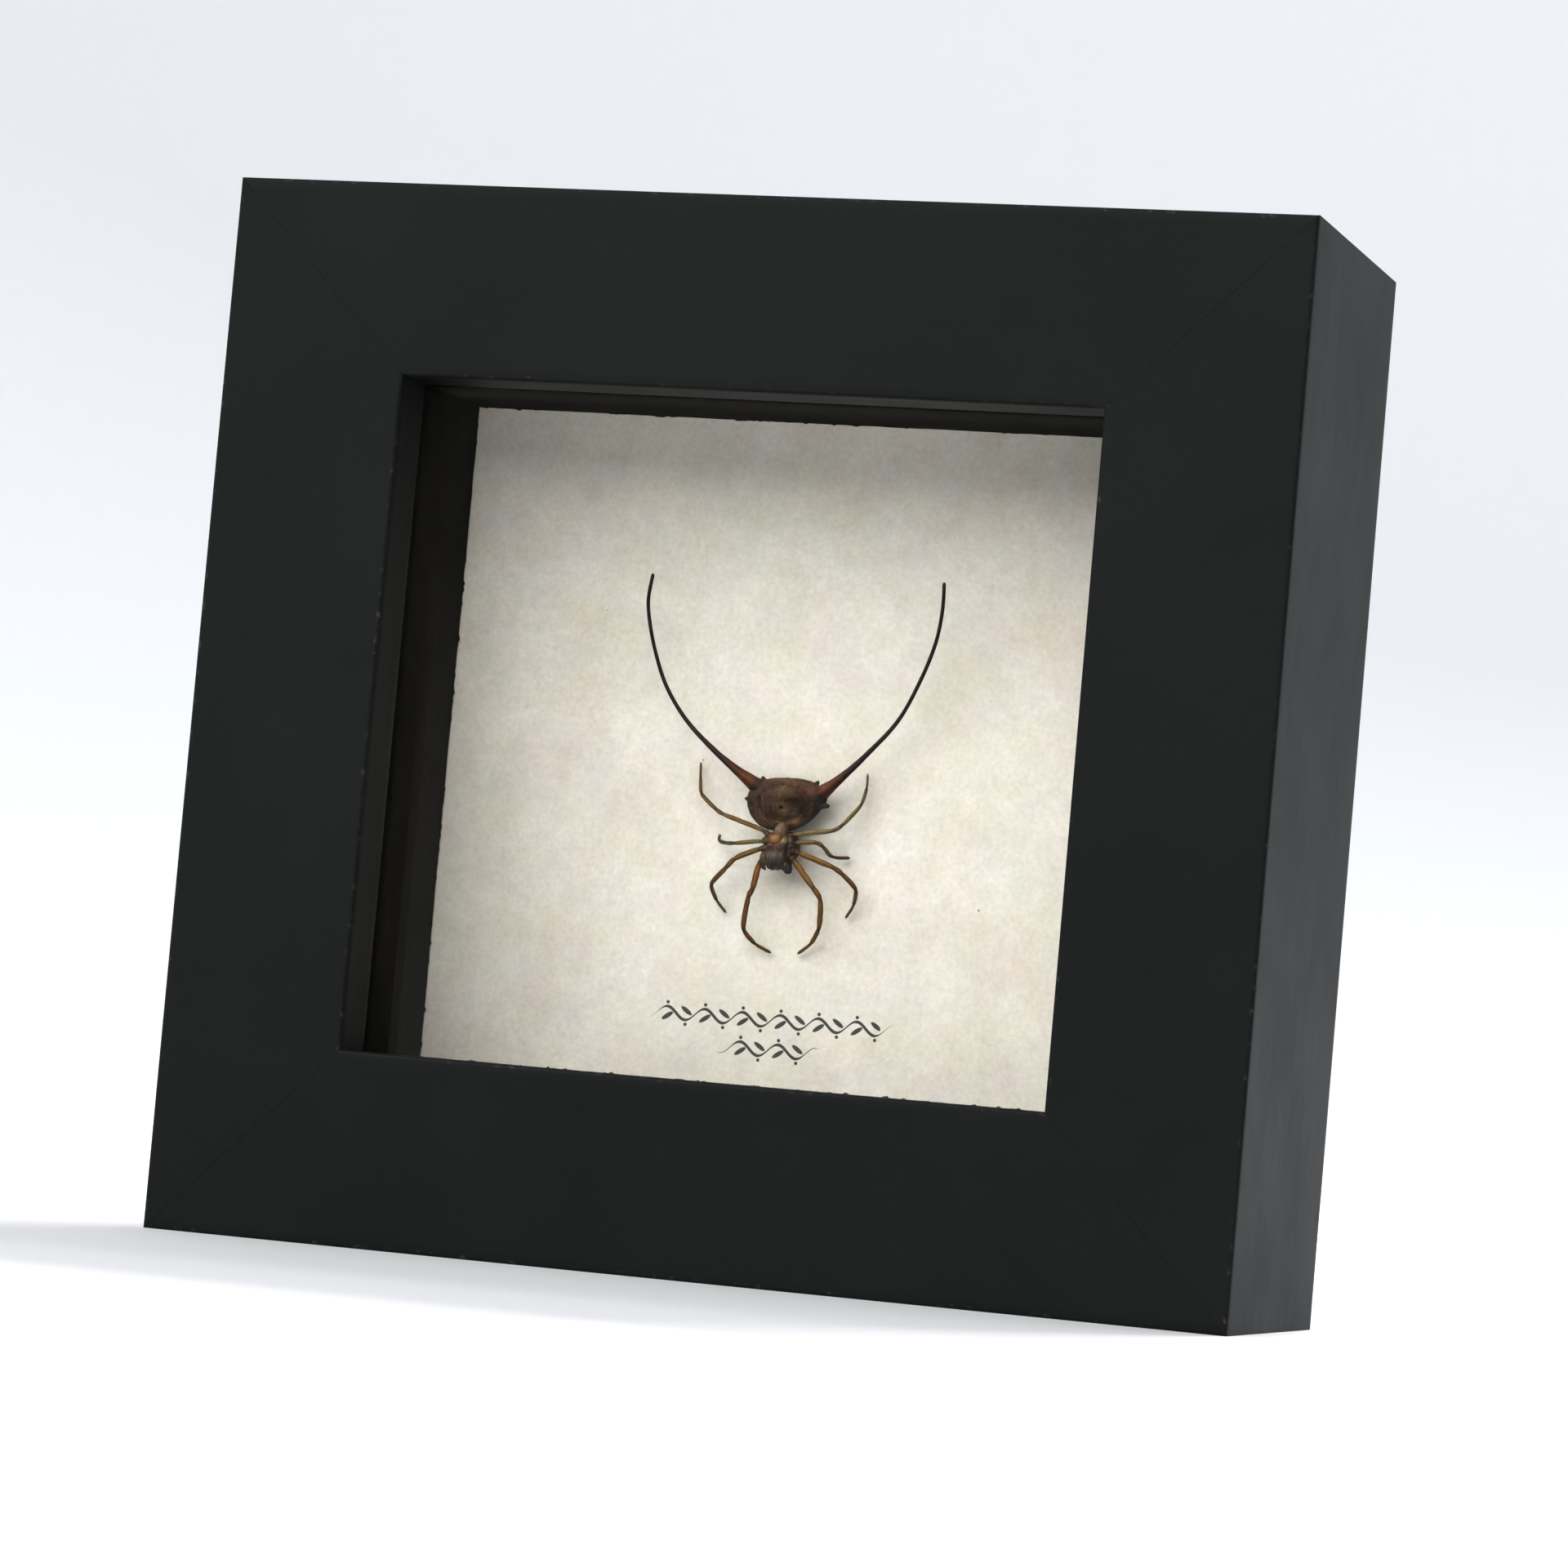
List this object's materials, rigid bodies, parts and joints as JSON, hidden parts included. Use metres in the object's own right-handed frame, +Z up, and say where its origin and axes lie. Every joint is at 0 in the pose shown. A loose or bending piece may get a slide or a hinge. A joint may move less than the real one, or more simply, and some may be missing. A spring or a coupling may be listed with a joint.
{
  "type": "framed orb weaver spider",
  "caption": "Dried orb weaver spider with long curved spines, fixed on a mottled cream card behind glass in a deep black box frame.",
  "frame": {"origin": "on the surface that the frame stands on, under the middle of the frame", "axes": "+Z up, -Y out of the window towards the viewer, +X to the viewer's right"},
  "size_m": [0.127, 0.045, 0.1215],
  "materials": {
    "black_paint": "satin black paint on wood",
    "liner": "matt dark brown strip",
    "glass": "clear polished",
    "card": "mottled cream parchment paper",
    "board": "pale mount board",
    "panel": "bare brown fibreboard",
    "steel": "plated steel",
    "cuticle": "dried brown cuticle with a dull shine"
  },
  "bodies": {
    "root": {"rail_bottom": "black_paint", "rail_right": "black_paint", "rail_top": "black_paint", "rail_left": "black_paint", "liner_bottom": "liner", "liner_right": "liner", "liner_top": "liner", "liner_left": "liner", "glass_pane": "glass", "card": "card", "mount_board": "board", "back_panel": "panel", "point_1": "steel", "point_2": "steel", "point_3": "steel", "point_4": "steel", "point_5": "steel", "point_6": "steel", "point_7": "steel", "point_8": "steel", "hanger": "steel", "spider": "cuticle"}
  },
  "joints": []
}
